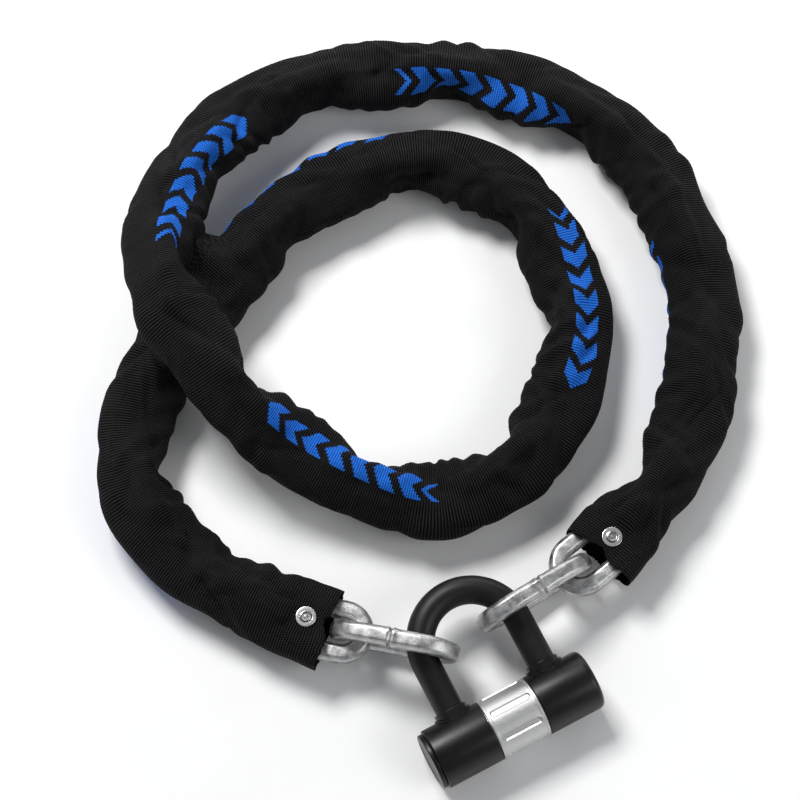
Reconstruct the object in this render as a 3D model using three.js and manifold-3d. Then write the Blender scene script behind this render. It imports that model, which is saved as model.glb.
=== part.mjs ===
// Security chain with a fabric sleeve, its two ends joined by a small shackle padlock.
// Millimetres, +Z up. The chain lies on the plane z = 0, and the origin is below the
// middle of the whole object's bounding box.
import * as THREE from 'three';
import { mergeVertices } from 'three/addons/utils/BufferGeometryUtils.js';
import Module from 'manifold-3d';

const wasm = await Module();
wasm.setup();

// ---- Driving dimensions ------------------------------------------------------------

// Chain: square bar with chamfered corners, links alternately flat and on edge.
const BAR = 9.4;
const BAR_CHAMFER = 2;
const LINK_LENGTH = 61;
const LINK_WIDTH = 32;
const END_LINK_LENGTH = 66.5;     // the two links on the shackle are larger
const END_LINK_WIDTH = 37;
const INNER_LINKS = 35;

// Fabric sleeve: a tube of cloth over the chain, flattened and riveted at both ends.
const SLEEVE_WIDTH = 41.4;
const SLEEVE_HEIGHT = 36.6;
const CLOTH = 1.4;
const SLEEVE_SIDES = 12;
const SLEEVE_FULLNESS = 0.75;   // 1 gives an oval section, less a fuller one
const SLEEVE_STEP = 20;
const FLAT_SHARE = 0.5;         // height of the flattened ends as a share of the full height
const FLAT_SPREAD = 1.05;       // their width as a share of the full width
const END_RISE = 13;            // length over which the sleeve opens out again
const WASHER_RADIUS = 5.1;
const WASHER_THICKNESS = 0.8;
const RIVET_RADIUS = 1.9;
const RIVET_HEAD = 2.75;         // radius of both heads
const RIVET_HEAD_HEIGHT = 1;
const RIVET_HOLLOW = 1.3;
const RIVET_FROM_END = [9.8, 11.8];    // right end, left end
const RIVETED_TIP = [[70.7, -99.4], [-29.2, -129.2]]; // middle of the bar outside the sleeve
const RIVETED_HEADING = [-141, -12];    // outwards, in degrees

// Route of the sleeve's centre line from its right end to its left end: x, y and lift
// off the floor. The strand rises where it crosses over its own later run.
const ROUTE = [
  [89, -88, 0], [117, -52, 0], [137, -18, 0], [148, 35, 0], [141, 86, 0], [119, 133, 0],
  [76, 169, 0], [32, 183, 0], [-11, 186, 0], [-60, 179, 0], [-100, 156, 4], [-126, 116, 14],
  [-135, 71, 31], [-128, 35, 40], [-110, 9, 38], [-92, -14, 27], [-67, -32, 13], [-30, -50, 4],
  [9, -58, 0], [45, -42, 0], [69, -10, 0], [81, 30, 0], [73, 71, 0], [54, 107, 0],
  [25, 128, 0], [-11, 131, 0], [-48, 118, 0], [-83, 89, 0], [-111, 53, 0], [-134, 19, 0],
  [-147, -21, 0], [-144, -58, 0], [-118, -89, 0], [-86, -109, 0], [-47, -126, 0],
];

// Padlock: crossbar along its own X, shackle legs along its own +Y.
const LOCK_CENTRE = [44.4, -170];
const LOCK_TURN = 27.9;         // degrees about Z
const LOCK_TILT = 8;            // degrees, the bow stands higher than the crossbar
const LEG_SPACING = 51.4;
const LEG_STRAIGHT = 43;        // crossbar axis to the start of the bow
const LEG_FOOT = 7.6;           // the legs end this far below the crossbar axis
const CORE_DIAMETER = 12;
const COATING_DIAMETER = 14.4;
const CLEAR = 0.3;              // gap between touching pieces
const BODY_RADIUS = 13.6;       // steel crossbar
const BODY_HALF = 42;
const COVER_RADIUS = 15.5;
const COVER_LEFT_END = -43.6;
const COVER_RIGHT_END = 44;
const COVER_ROUND = 3;
const COVER_LEG_HOLE = 8.8;
const FERRULE_RADIUS = 8.5;
const FERRULE_TOP = 18.5;       // above the crossbar axis
const CAP_RADIUS = 14.3;
const CAP_LENGTH = 2.4;
const CAP_BEVEL = 0.8;
const CAP_STEM_END = -36;
const COLLAR_HALF = 13;
const COLLAR_RADIUS = 15.4;
const COLLAR_RIM = 15.7;
const GRIPS = 7;                // places round the collar; one holds the key window
const GRIP_LENGTH = 22;
const GRIP_WIDTH = 3.4;
const GRIP_DEPTH = 0.6;
const KEY_BORE = 6.6;
const KEY_WINDOW = 7;
const CYLINDER_RADIUS = 6.2;
const CYLINDER_INNER = -6.6;    // end of the cylinder nearest the bolts
const PLUG_RADIUS = 3.7;
const PLUG_OUTER = -12.6;
const CAM_RADIUS = 5.7;
const CAM_TOP = -4.6;
const BOLT_RADIUS = 4.2;
const BOLT_BORE = 4.6;
const BOLT_TRAVEL = 4.5;
const BOLT_TIP = 18.8;
const PIN_CIRCLE = 3.2;         // radius of the cam's two pins about the key axis
const PIN_RADIUS = 1.2;

// ---- Materials ---------------------------------------------------------------------

const paint = (color, roughness, metalness) =>
  new THREE.MeshStandardMaterial({ color, roughness, metalness });
const cloth = () => paint(0x141416, 0.9, 0);
const zincPlate = () => paint(0xb4b6b8, 0.38, 1);
const rivetSteel = () => paint(0xc6c7c8, 0.3, 1);
const hardSteel = () => paint(0x8d9093, 0.35, 1);
const vinyl = () => paint(0x0c0c0e, 0.42, 0);
const blackCover = () => paint(0x101013, 0.36, 0);
const satinZinc = () => paint(0xb9bbc0, 0.34, 1);
const brass = () => paint(0xb08d4a, 0.35, 1);

// ---- Solids ------------------------------------------------------------------------

// Turns a closed three.js geometry into a solid that can be cut and joined.
function solid(geometry) {
  const bare = geometry.index ? geometry.toNonIndexed() : geometry.clone();
  for (const name of Object.keys(bare.attributes)) {
    if (name !== 'position') bare.deleteAttribute(name);
  }
  const merged = mergeVertices(bare, 1e-4);
  return new wasm.Manifold(new wasm.Mesh({
    numProp: 3,
    vertProperties: new Float32Array(merged.attributes.position.array),
    triVerts: new Uint32Array(merged.index.array),
  }));
}

// Turns a solid back into a three.js geometry.
function surface(body) {
  const mesh = body.getMesh();
  const geometry = new THREE.BufferGeometry();
  geometry.setAttribute('position', new THREE.BufferAttribute(mesh.vertProperties, 3));
  geometry.setIndex(new THREE.BufferAttribute(mesh.triVerts, 1));
  return geometry;
}

const object = new THREE.Group();

function add(name, geometry, material, parent = object) {
  const mesh = new THREE.Mesh(geometry, material);
  mesh.name = name;
  parent.add(mesh);
  return mesh;
}

// Cylinder whose axis runs along X, Y or Z, from one coordinate to another.
function rod(axis, radius, from, to, sides = 32, offset = [0, 0, 0]) {
  const geometry = new THREE.CylinderGeometry(radius, radius, to - from, sides);
  geometry.translate(0, (from + to) / 2, 0);
  if (axis === 'x') geometry.rotateZ(-Math.PI / 2);
  if (axis === 'z') geometry.rotateX(Math.PI / 2);
  return geometry.translate(...offset);
}

// Solid of revolution about X from a closed list of [x, radius] points.
function turned(profile, sides = 32) {
  const points = profile.map(([x, r]) => new THREE.Vector2(r, x));
  if (THREE.ShapeUtils.isClockWise(points)) points.reverse();
  points.push(points[0].clone());
  return new THREE.LatheGeometry(points, sides).rotateZ(-Math.PI / 2);
}

function block(x, y, z) {
  const size = [x, y, z].map(([low, high]) => high - low);
  const middle = [x, y, z].map(([low, high]) => (low + high) / 2);
  return new THREE.BoxGeometry(...size).translate(...middle);
}

// ---- Chain links -------------------------------------------------------------------

// Outline with two straight sides and round ends, along X.
function oblong(length, width, arcSteps, Kind = THREE.Shape) {
  const radius = width / 2;
  const reach = length / 2 - radius;
  const shape = new Kind();
  const points = [];
  for (const side of [1, -1]) {
    for (let i = 0; i <= arcSteps; i++) {
      const angle = Math.PI * (i / arcSteps - side / 2);
      points.push(new THREE.Vector2(
        side * reach + radius * Math.cos(angle), radius * Math.sin(angle)));
    }
  }
  return shape.setFromPoints(points);
}

// Link of square bar: an oblong ring with all four edges chamfered.
function linkGeometry(length, width, arcSteps) {
  const shape = oblong(length, width, arcSteps);
  shape.holes.push(oblong(length - 2 * BAR, width - 2 * BAR, arcSteps, THREE.Path));
  const geometry = new THREE.ExtrudeGeometry(shape, {
    depth: BAR - 2 * BAR_CHAMFER,
    bevelEnabled: true,
    bevelThickness: BAR_CHAMFER,
    bevelSize: BAR_CHAMFER,
    bevelOffset: -BAR_CHAMFER,
    bevelSegments: 1,
    steps: 1,
  });
  return geometry.translate(0, 0, BAR_CHAMFER - BAR / 2);
}

// Places a link by its centre, its long direction and the direction of its width.
function placeLink(name, geometry, centre, along, across, parent = object) {
  const x = along.clone().normalize();
  const z = new THREE.Vector3().crossVectors(x, across).normalize();
  const y = new THREE.Vector3().crossVectors(z, x);
  const mesh = add(name, geometry, zincPlate(), parent);
  mesh.quaternion.setFromRotationMatrix(new THREE.Matrix4().makeBasis(x, y, z));
  mesh.position.copy(centre);
  return mesh;
}

// ---- Route -------------------------------------------------------------------------

const UP = new THREE.Vector3(0, 0, 1);
const middleHeight = SLEEVE_HEIGHT / 2;
const routeCurve = new THREE.CatmullRomCurve3(
  ROUTE.map(([x, y, lift]) => new THREE.Vector3(x, y, lift + middleHeight)));
routeCurve.arcLengthDivisions = 2000;
const routeLength = routeCurve.getLength();
const routePoint = (s) => {
  const point = routeCurve.getPointAt(THREE.MathUtils.clamp(s / routeLength, 0, 1));
  return point.setZ(Math.max(point.z, middleHeight));
};
const routeTangent = (s) => routeCurve.getTangentAt(THREE.MathUtils.clamp(s / routeLength, 0, 1));

// Unit vector to the left of a heading, and the one square to both.
function sideAndTop(tangent) {
  const side = new THREE.Vector3().crossVectors(UP, tangent).normalize();
  return { side, top: new THREE.Vector3().crossVectors(tangent, side) };
}

// Extrudes a shape through a list of frames, each with an origin and the directions x and y.
function sweep(shape, frames) {
  const steps = frames.length - 1;
  const geometry = new THREE.ExtrudeGeometry(shape, { depth: steps, steps, bevelEnabled: false });
  const position = geometry.attributes.position;
  for (let i = 0; i < position.count; i++) {
    const { origin, x, y } = frames[Math.round(position.getZ(i))];
    const point = origin.clone()
      .addScaledVector(x, position.getX(i))
      .addScaledVector(y, position.getY(i));
    position.setXYZ(i, point.x, point.y, point.z);
  }
  geometry.computeVertexNormals();
  return geometry;
}

// ---- Sleeve ------------------------------------------------------------------------

// Section with flat facets at its top, bottom and sides, sized across the facets.
function sectionPoints(width, height, sides) {
  const full = (t) => Math.sign(t) * Math.abs(t) ** SLEEVE_FULLNESS;
  const flat = full(Math.cos(Math.PI / sides));
  return Array.from({ length: sides }, (_, i) => {
    const angle = 2 * Math.PI * (i + 0.5) / sides;
    return new THREE.Vector2(
      width / 2 * full(Math.cos(angle)) / flat, height / 2 * full(Math.sin(angle)) / flat);
  });
}

// Length of the flat part at a sleeve end: up to the far edge of the rivet's washer.
const flatLength = RIVET_FROM_END.map((distance) => distance + WASHER_RADIUS + CLEAR);

// Distance from one end of each cross section that shapes that end.
function endStations(end) {
  const flat = flatLength[end];
  return [0, flat / 2, flat, flat + END_RISE * 0.27, flat + END_RISE * 0.6, flat + END_RISE];
}

function sleeveStations() {
  const first = endStations(0);
  const last = endStations(1).map((s) => routeLength - s).reverse();
  const from = first.at(-1);
  const to = last[0];
  const count = Math.round((to - from) / SLEEVE_STEP);
  const middle = Array.from({ length: count - 1 }, (_, i) => from + (to - from) * (i + 1) / count);
  return [...first, ...middle, ...last];
}

// How far the sleeve has opened out at a distance along the route: 0 flattened, 1 round.
function opening(s) {
  const fromFlat = Math.min(s - flatLength[0], routeLength - s - flatLength[1]);
  return Math.sin(Math.PI / 2 * THREE.MathUtils.clamp(fromFlat / END_RISE, 0, 1));
}

function sleeveSurface() {
  const shape = new THREE.Shape(sectionPoints(SLEEVE_WIDTH, SLEEVE_HEIGHT, SLEEVE_SIDES));
  shape.holes.push(new THREE.Path(sectionPoints(
    SLEEVE_WIDTH - 2 * CLOTH, SLEEVE_HEIGHT - 2 * CLOTH, SLEEVE_SIDES)));
  const frames = sleeveStations().map((s) => {
    const { side, top } = sideAndTop(routeTangent(s));
    const open = opening(s);
    return {
      origin: routePoint(s),
      x: side.multiplyScalar(THREE.MathUtils.lerp(FLAT_SPREAD, 1, open)),
      y: top.multiplyScalar(THREE.MathUtils.lerp(FLAT_SHARE, 1, open)),
    };
  });
  return sweep(shape, frames);
}

// ---- Chain, sleeve and rivets ------------------------------------------------------

const linkShape = linkGeometry(LINK_LENGTH, LINK_WIDTH, 5);
const ENDS = ['right', 'left'];

// Distances from a link's middle: to the middle of its end bar, where the bar goes
// through a neighbour, and to the centre of its eye's round end.
const REACH = (LINK_LENGTH - BAR) / 2;
const PIVOT = (LINK_LENGTH - LINK_WIDTH) / 2;
const ARM = REACH - PIVOT;

// The two riveted links lie flat and stick half out of the sleeve.
const tip = RIVETED_TIP.map(([x, y]) => new THREE.Vector3(x, y, middleHeight));
const heading = RIVETED_HEADING.map((degrees) => {
  const angle = THREE.MathUtils.degToRad(degrees);
  return new THREE.Vector3(Math.cos(angle), Math.sin(angle), 0);
});
ENDS.forEach((end, i) => {
  const centre = tip[i].clone().addScaledVector(heading[i], -REACH);
  placeLink(`riveted_link_${end}`, linkShape, centre, heading[i], sideAndTop(heading[i]).side);
});

// The links inside the sleeve stand alternately on edge and flat. Neighbours swing
// sideways about the end bar of the one on edge, and up and down about that of the flat one.
function slope(from, to, length, onEdge) {
  const inward = onEdge ? ARM : -ARM;
  const rise = routePoint(to - inward).z - routePoint(from + inward).z;
  return Math.asin(rise / (length - 2 * inward));
}

const planDistance = (a, b) => Math.hypot(a.x - b.x, a.y - b.y);

// Distance along the route at which a link that starts at a joint ends.
function nextJoint(joint, length, onEdge) {
  let s = joint.s + length;
  for (let i = 0; i < 20; i++) {
    const inPlan = length * Math.cos(slope(joint.s, s, length, onEdge));
    s += inPlan - planDistance(routePoint(s), joint.point);
  }
  return { s, point: routePoint(s) };
}

const chainEnd = tip.map((point, i) => point.clone().addScaledVector(heading[i], CLEAR - REACH - PIVOT));
const startJoint = { s: RIVET_FROM_END[0] + ARM, point: chainEnd[0] };
const endJoint = { s: routeLength - RIVET_FROM_END[1] - ARM, point: chainEnd[1] };

// Joints of the chain when each flat link spans the given distance between its joints.
function chainJoints(flatSpan) {
  const joints = [startJoint];
  for (let i = 1; i < INNER_LINKS; i++) {
    joints.push(nextJoint(joints.at(-1), i % 2 ? 2 * REACH : flatSpan, i % 2 === 1));
  }
  return joints;
}

// The flat links share out the chain's slack, so that the last link ends at the left end.
let flatSpan = 2 * PIVOT;
for (let i = 0; i < 20; i++) {
  const gap = planDistance(chainJoints(flatSpan).at(-1).point, endJoint.point);
  flatSpan += (gap - 2 * REACH) / (INNER_LINKS / 2);
}
const joints = [...chainJoints(flatSpan), endJoint];
for (let i = 1; i <= INNER_LINKS; i++) {
  const [from, to] = [joints[i - 1], joints[i]];
  const onEdge = i % 2 === 1;
  const inward = onEdge ? ARM : -ARM;
  const angle = slope(from.s, to.s, onEdge ? 2 * REACH : flatSpan, onEdge);
  const centre = from.point.clone().add(to.point).multiplyScalar(0.5);
  centre.z = (routePoint(from.s + inward).z + routePoint(to.s - inward).z) / 2;
  const along = to.point.clone().sub(from.point).setZ(0).normalize()
    .multiplyScalar(Math.cos(angle)).setZ(Math.sin(angle));
  const { side, top } = sideAndTop(along);
  placeLink(`link_${String(i).padStart(2, '0')}`, linkShape, centre, along, onEdge ? top : side);
}

// Each rivet goes through both walls of the sleeve and the eye of the riveted link.
const clothTop = SLEEVE_HEIGHT / 2 * FLAT_SHARE;
const washerLow = clothTop + CLEAR;
const washerHigh = washerLow + WASHER_THICKNESS;
const headLow = washerHigh + CLEAR / 2;
let sleeve = solid(sleeveSurface());
ENDS.forEach((end, i) => {
  const s = i ? routeLength - RIVET_FROM_END[1] : RIVET_FROM_END[0];
  const at = routePoint(s).toArray();
  const upright = (radius, from, to, sides = 20) => rod('z', radius, from, to, sides, at);
  const washer = (from) => solid(upright(WASHER_RADIUS, from, from + WASHER_THICKNESS, 28))
    .subtract(solid(upright(RIVET_RADIUS + CLEAR, from - 1, from + WASHER_THICKNESS + 1)));
  const rivet = solid(upright(RIVET_RADIUS, -headLow - 0.6, headLow + 0.6))
    .add(solid(upright(RIVET_HEAD, headLow, headLow + RIVET_HEAD_HEIGHT)))
    .add(solid(upright(RIVET_HEAD, -headLow - RIVET_HEAD_HEIGHT, -headLow)))
    .subtract(solid(upright(RIVET_HOLLOW, headLow + 0.3, headLow + 2, 14)));
  sleeve = sleeve.subtract(solid(upright(RIVET_RADIUS + CLEAR, -SLEEVE_HEIGHT, SLEEVE_HEIGHT)));
  add(`rivet_${end}`, surface(rivet), rivetSteel());
  add(`washer_top_${end}`, surface(washer(washerLow)), rivetSteel());
  add(`washer_bottom_${end}`, surface(washer(-washerHigh)), rivetSteel());
});
add('sleeve', surface(sleeve), cloth());

// ---- Padlock -----------------------------------------------------------------------

const lock = new THREE.Group();
lock.position.set(LOCK_CENTRE[0], LOCK_CENTRE[1], COLLAR_RIM);
lock.rotation.order = 'ZYX';
lock.rotation.set(
  THREE.MathUtils.degToRad(LOCK_TILT), 0, THREE.MathUtils.degToRad(LOCK_TURN));
lock.updateMatrix();
object.add(lock);

const bowRadius = LEG_SPACING / 2;
const X_AXIS = new THREE.Vector3(1, 0, 0);
const Z_AXIS = new THREE.Vector3(0, 0, 1);

// Frames down the left leg, round the bow and up the right one, from a given height.
function shackleFrames(foot, legSteps, bowSteps) {
  const frames = [];
  const push = (x, y, outward) => frames.push({
    origin: new THREE.Vector3(x, y, 0), x: outward, y: Z_AXIS,
  });
  for (let i = 0; i < legSteps; i++) {
    push(-bowRadius, THREE.MathUtils.lerp(foot, LEG_STRAIGHT, i / legSteps), X_AXIS.clone().negate());
  }
  for (let i = 0; i <= bowSteps; i++) {
    const angle = Math.PI * (1 - i / bowSteps);
    const outward = new THREE.Vector3(Math.cos(angle), Math.sin(angle), 0);
    push(bowRadius * outward.x, LEG_STRAIGHT + bowRadius * outward.y, outward);
  }
  for (let i = legSteps - 1; i >= 0; i--) {
    push(bowRadius, THREE.MathUtils.lerp(foot, LEG_STRAIGHT, i / legSteps), X_AXIS.clone());
  }
  return frames;
}

function circle(radius, sides, Kind = THREE.Shape) {
  return new Kind().setFromPoints(Array.from({ length: sides }, (_, i) => {
    const angle = 2 * Math.PI * (i + 0.5) / sides;
    return new THREE.Vector2(radius * Math.cos(angle), radius * Math.sin(angle));
  }));
}

// Steel shackle with a notch for a bolt on the inner side of each leg.
let core = solid(sweep(circle(CORE_DIAMETER / 2, 20), shackleFrames(-LEG_FOOT, 2, 18)));
for (const side of [-1, 1]) {
  const notch = [side * 15, side * (BOLT_TIP + BOLT_TRAVEL + 0.6)].sort((a, b) => a - b);
  core = core.subtract(solid(block(notch, [-4.7, 4.7], [-7, 7])));
}
add('shackle', surface(core), hardSteel(), lock);

const sheath = circle(COATING_DIAMETER / 2, 20);
sheath.holes.push(circle(CORE_DIAMETER / 2 + CLEAR, 20, THREE.Path));
add('shackle_coating', sweep(sheath, shackleFrames(BODY_RADIUS + 0.6, 2, 18)), vinyl(), lock);

// Steel crossbar: two leg bores, a bolt bore along its axis and a bore for the lock cylinder.
const legX = [-bowRadius, bowRadius];
let body = solid(rod('x', BODY_RADIUS, -BODY_HALF, BODY_HALF, 40))
  .subtract(solid(rod('x', BOLT_BORE, -BODY_HALF - 1, 21, 24)))
  .subtract(solid(rod('y', KEY_BORE, -20, 5, 28)));
for (const x of legX) {
  body = body.subtract(solid(rod('y', CORE_DIAMETER / 2 + 0.4, -LEG_FOOT - 0.4, 20, 24, [x, 0, 0])));
}
add('crossbar_body', surface(body), hardSteel(), lock);

// Two covers over the crossbar's ends, each with a hole for its leg.
function cover(profile, x) {
  const hole = rod('y', COVER_LEG_HOLE, 0, 30, 28, [x, 0, 0]);
  return solid(turned(profile, 40)).subtract(solid(hole));
}
const coverInner = BODY_RADIUS + CLEAR;
const inboard = COLLAR_HALF + 0.4;
const round = (x, sign) => [0, 1, 2, 3, 4].map((i) => {
  const angle = Math.PI / 2 * i / 4;
  return [x - sign * COVER_ROUND * (1 - Math.sin(angle)),
    COVER_RADIUS - COVER_ROUND * (1 - Math.cos(angle))];
});
const leftCover = [
  [-inboard, coverInner], [-inboard, COVER_RADIUS],
  [COVER_LEFT_END + 0.5, COVER_RADIUS], [COVER_LEFT_END, COVER_RADIUS - 0.5],
  [COVER_LEFT_END, BOLT_BORE], [-BODY_HALF - CLEAR, BOLT_BORE], [-BODY_HALF - CLEAR, coverInner],
];
const rightCover = [
  [inboard, coverInner], [BODY_HALF + CLEAR, coverInner], [BODY_HALF + CLEAR, 0],
  [COVER_RIGHT_END, 0], ...round(COVER_RIGHT_END, 1).reverse(), [inboard, COVER_RADIUS],
];
add('cover_left', surface(cover(leftCover, legX[0])), blackCover(), lock);
add('cover_right', surface(cover(rightCover, legX[1])), blackCover(), lock);

// Cap on the left end, whose stem closes the bolt bore.
const capInner = COVER_LEFT_END - CLEAR;
const capOuter = capInner - CAP_LENGTH;
add('end_cap', turned([
  [CAP_STEM_END, 0], [CAP_STEM_END, BOLT_BORE - CLEAR], [capInner, BOLT_BORE - CLEAR],
  [capInner, CAP_RADIUS], [capOuter + CAP_BEVEL, CAP_RADIUS], [capOuter, CAP_RADIUS - CAP_BEVEL],
  [capOuter, 0],
], 32), blackCover(), lock);

// A black ring round each leg where it enters the crossbar.
['left', 'right'].forEach((side, i) => {
  const at = [legX[i], 0, 0];
  const ring = solid(rod('y', FERRULE_RADIUS, 5, FERRULE_TOP, 28, at))
    .subtract(solid(rod('y', COATING_DIAMETER / 2 + CLEAR, 4, 19, 28, at)))
    .subtract(solid(rod('x', coverInner, -BODY_HALF, BODY_HALF, 40)));
  add(`ferrule_${side}`, surface(ring), blackCover(), lock);
});

// Turning collar with a window for the key and a finger groove at each other place.
const collarProfile = [
  [-COLLAR_HALF, coverInner], [COLLAR_HALF, coverInner], [COLLAR_HALF, COLLAR_RIM],
  [COLLAR_HALF - 1, COLLAR_RIM], [COLLAR_HALF - 1.4, COLLAR_RADIUS],
  [1.4 - COLLAR_HALF, COLLAR_RADIUS], [1 - COLLAR_HALF, COLLAR_RIM], [-COLLAR_HALF, COLLAR_RIM],
];
let collar = solid(turned(collarProfile, 48));
for (let i = 0; i < GRIPS; i++) {
  const turn = Math.PI * 3 / 2 + 2 * Math.PI * i / GRIPS;
  const cutter = i === 0
    ? rod('y', KEY_WINDOW, 5, 20, 28)
    : new THREE.ExtrudeGeometry(
      oblong(GRIP_LENGTH, GRIP_WIDTH, 5), { depth: 5, bevelEnabled: false })
      .rotateX(-Math.PI / 2).translate(0, COLLAR_RADIUS - GRIP_DEPTH, 0);
  collar = collar.subtract(solid(cutter.rotateX(turn)));
}
add('dust_collar', surface(collar), satinZinc(), lock);

// Lock cylinder, reached from below the crossbar.
const housing = solid(rod('y', CYLINDER_RADIUS, -20, CYLINDER_INNER, 28))
  .subtract(solid(rod('y', PLUG_RADIUS + CLEAR, -21, CYLINDER_INNER + 1, 24)))
  .intersect(solid(rod('x', BODY_RADIUS - 0.2, -10, 10, 40)));
add('cylinder_housing', surface(housing), brass(), lock);

const plug = solid(rod('y', PLUG_RADIUS, PLUG_OUTER, CYLINDER_INNER, 24))
  .subtract(solid(block([-0.6, 0.6], [-14, CYLINDER_INNER - 1.5], [-2.6, 2.2])))
  .subtract(solid(block([-1.2, 0.2], [-14, CYLINDER_INNER - 1.5], [-0.6, 0.4])));
add('key_plug', surface(plug), brass(), lock);

// Cam turned by the plug. Its two pins push the bolts outwards.
const pinAt = PIN_CIRCLE / Math.SQRT2;
let cam = solid(rod('y', CAM_RADIUS, CYLINDER_INNER + CLEAR, CAM_TOP, 28));
for (const side of [-1, 1]) {
  cam = cam.add(solid(rod('y', PIN_RADIUS, -5, 0.4, 16, [side * pinAt, 0, -side * pinAt])));
}
add('cam', surface(cam), hardSteel(), lock);

// Each bolt has a half-round tail with a slot for its pin.
for (const side of [-1, 1]) {
  const barrel = (from, to) => rod('x', BOLT_RADIUS, ...(side > 0 ? [from, to] : [-to, -from]), 24);
  const pinX = -side * pinAt;
  const half = side > 0 ? [CLEAR, 5] : [-5, -CLEAR];
  const tail = solid(barrel(-5.5, 8)).intersect(solid(block([-9, 9], [-5, 5], half)));
  const slot = block([pinX - PIN_RADIUS - CLEAR, pinX + PIN_RADIUS + CLEAR], [-5, 0.8], [-5, 5]);
  const bolt = solid(barrel(7, BOLT_TIP)).add(tail).subtract(solid(slot));
  add(side > 0 ? 'bolt_right' : 'bolt_left', surface(bolt), brass(), lock);
}

// ---- Shackle links -----------------------------------------------------------------

// A larger link on edge joins each riveted link to the shackle. It leans about its length.
const SHACKLE_POINT = [[43.6, -115.2, 22.6], [-1, -135.5, 23]]; // rod's middle inside each link
const LEAN = [-6, 6];           // away from upright, in degrees
const endShape = linkGeometry(END_LINK_LENGTH, END_LINK_WIDTH, 6);
ENDS.forEach((end, i) => {
  const eye = tip[i].clone().addScaledVector(heading[i], -ARM);
  const rodPoint = new THREE.Vector3(...SHACKLE_POINT[i]);
  const along = rodPoint.clone().sub(eye);
  const taut = END_LINK_LENGTH - BAR * 1.5 - COATING_DIAMETER / 2;
  const slack = taut - along.length();
  along.normalize();
  const centre = eye.addScaledVector(along, (END_LINK_LENGTH - BAR) / 2 - 0.3 * slack);
  const across = sideAndTop(along).top.applyAxisAngle(along, THREE.MathUtils.degToRad(LEAN[i]));
  placeLink(`shackle_link_${end}`, endShape, centre, along, across);
});

export default object;
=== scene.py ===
"""Security chain in a woven sleeve, its ends joined by a shackle padlock."""

import math
import random

import bmesh
import bpy
import numpy as np
from mathutils import Matrix, Vector
from mathutils.bvhtree import BVHTree


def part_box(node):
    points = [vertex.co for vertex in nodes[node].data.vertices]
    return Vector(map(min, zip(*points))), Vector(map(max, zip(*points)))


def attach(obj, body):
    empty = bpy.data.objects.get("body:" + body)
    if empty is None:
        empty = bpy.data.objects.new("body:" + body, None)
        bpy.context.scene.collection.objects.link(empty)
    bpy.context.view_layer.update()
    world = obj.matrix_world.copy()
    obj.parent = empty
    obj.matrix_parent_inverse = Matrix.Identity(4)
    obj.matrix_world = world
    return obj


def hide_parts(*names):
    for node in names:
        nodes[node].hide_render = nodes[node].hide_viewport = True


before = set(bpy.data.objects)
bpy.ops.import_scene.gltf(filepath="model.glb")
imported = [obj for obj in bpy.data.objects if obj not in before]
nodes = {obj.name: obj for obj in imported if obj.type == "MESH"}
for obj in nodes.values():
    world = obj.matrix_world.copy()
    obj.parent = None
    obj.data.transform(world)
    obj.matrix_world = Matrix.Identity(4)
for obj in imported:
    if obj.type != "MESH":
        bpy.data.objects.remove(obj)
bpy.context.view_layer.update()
scene = bpy.context.scene
MM = 0.001

# ---- Camera ----------------------------------------------------------------------

CAMERA_TARGET = Vector((-0.0113, -0.0033, 0.017))
CAMERA_DISTANCE = 1.13
CAMERA_ELEVATION = math.radians(70)
CAMERA_LENS = 98.1


def make_camera():
    data = bpy.data.cameras.new("camera")
    data.lens = CAMERA_LENS
    data.sensor_width = 36
    camera = bpy.data.objects.new("camera", data)
    back = Vector((0, -math.cos(CAMERA_ELEVATION), math.sin(CAMERA_ELEVATION)))
    camera.location = CAMERA_TARGET + CAMERA_DISTANCE * back
    camera.rotation_euler = (math.pi / 2 - CAMERA_ELEVATION, 0, 0)
    scene.collection.objects.link(camera)
    scene.camera = camera


make_camera()

# ---- Materials -------------------------------------------------------------------


def node(tree, kind, values=None, **settings):
    """Adds a shader node; values are constants or sockets for its inputs."""
    made = tree.nodes.new(kind)
    for key, value in settings.items():
        setattr(made, key, value)
    for key, value in (values or {}).items():
        socket = made.inputs[key]
        if isinstance(value, bpy.types.NodeSocket):
            tree.links.new(value, socket)
        else:
            socket.default_value = value
    return made


def math_node(tree, operation, *values):
    inputs = dict(enumerate(values))
    return node(tree, "ShaderNodeMath", inputs, operation=operation).outputs[0]


def mix_colour(tree, factor, first, second):
    made = node(tree, "ShaderNodeMix", data_type="RGBA")
    for socket, value in zip((made.inputs[0], made.inputs[6], made.inputs[7]), (factor, first, second)):
        if isinstance(value, bpy.types.NodeSocket):
            tree.links.new(value, socket)
        else:
            socket.default_value = value
    return made.outputs[2]


def grey(value):
    return (value, value, value, 1)


def new_material(name):
    """Returns a material's tree and its Principled shader."""
    material = bpy.data.materials.new(name)
    material.use_nodes = True
    tree = material.node_tree
    return material, tree, tree.nodes["Principled BSDF"]


def noise_at(tree, scale, detail=4, roughness=0.55):
    """Noise in the object's own coordinates, with scale in cycles a metre."""
    place = node(tree, "ShaderNodeTexCoord").outputs["Object"]
    values = {"Vector": place, "Scale": scale, "Detail": detail, "Roughness": roughness}
    return node(tree, "ShaderNodeTexNoise", values).outputs[0]


def ramp(tree, factor, low, high, low_value=0.0, high_value=1.0):
    """Maps factor from low..high to low_value..high_value, held at the ends."""
    values = {0: factor, 1: low, 2: high, 3: low_value, 4: high_value}
    return node(tree, "ShaderNodeMapRange", values, clamp=True).outputs[0]


def bump(tree, shader, height, distance, strength=1.0):
    made = node(tree, "ShaderNodeBump", {"Height": height, "Distance": distance, "Strength": strength})
    tree.links.new(made.outputs[0], shader.inputs["Normal"])


def link_input(tree, shader, name, socket):
    tree.links.new(socket, shader.inputs[name])


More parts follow.
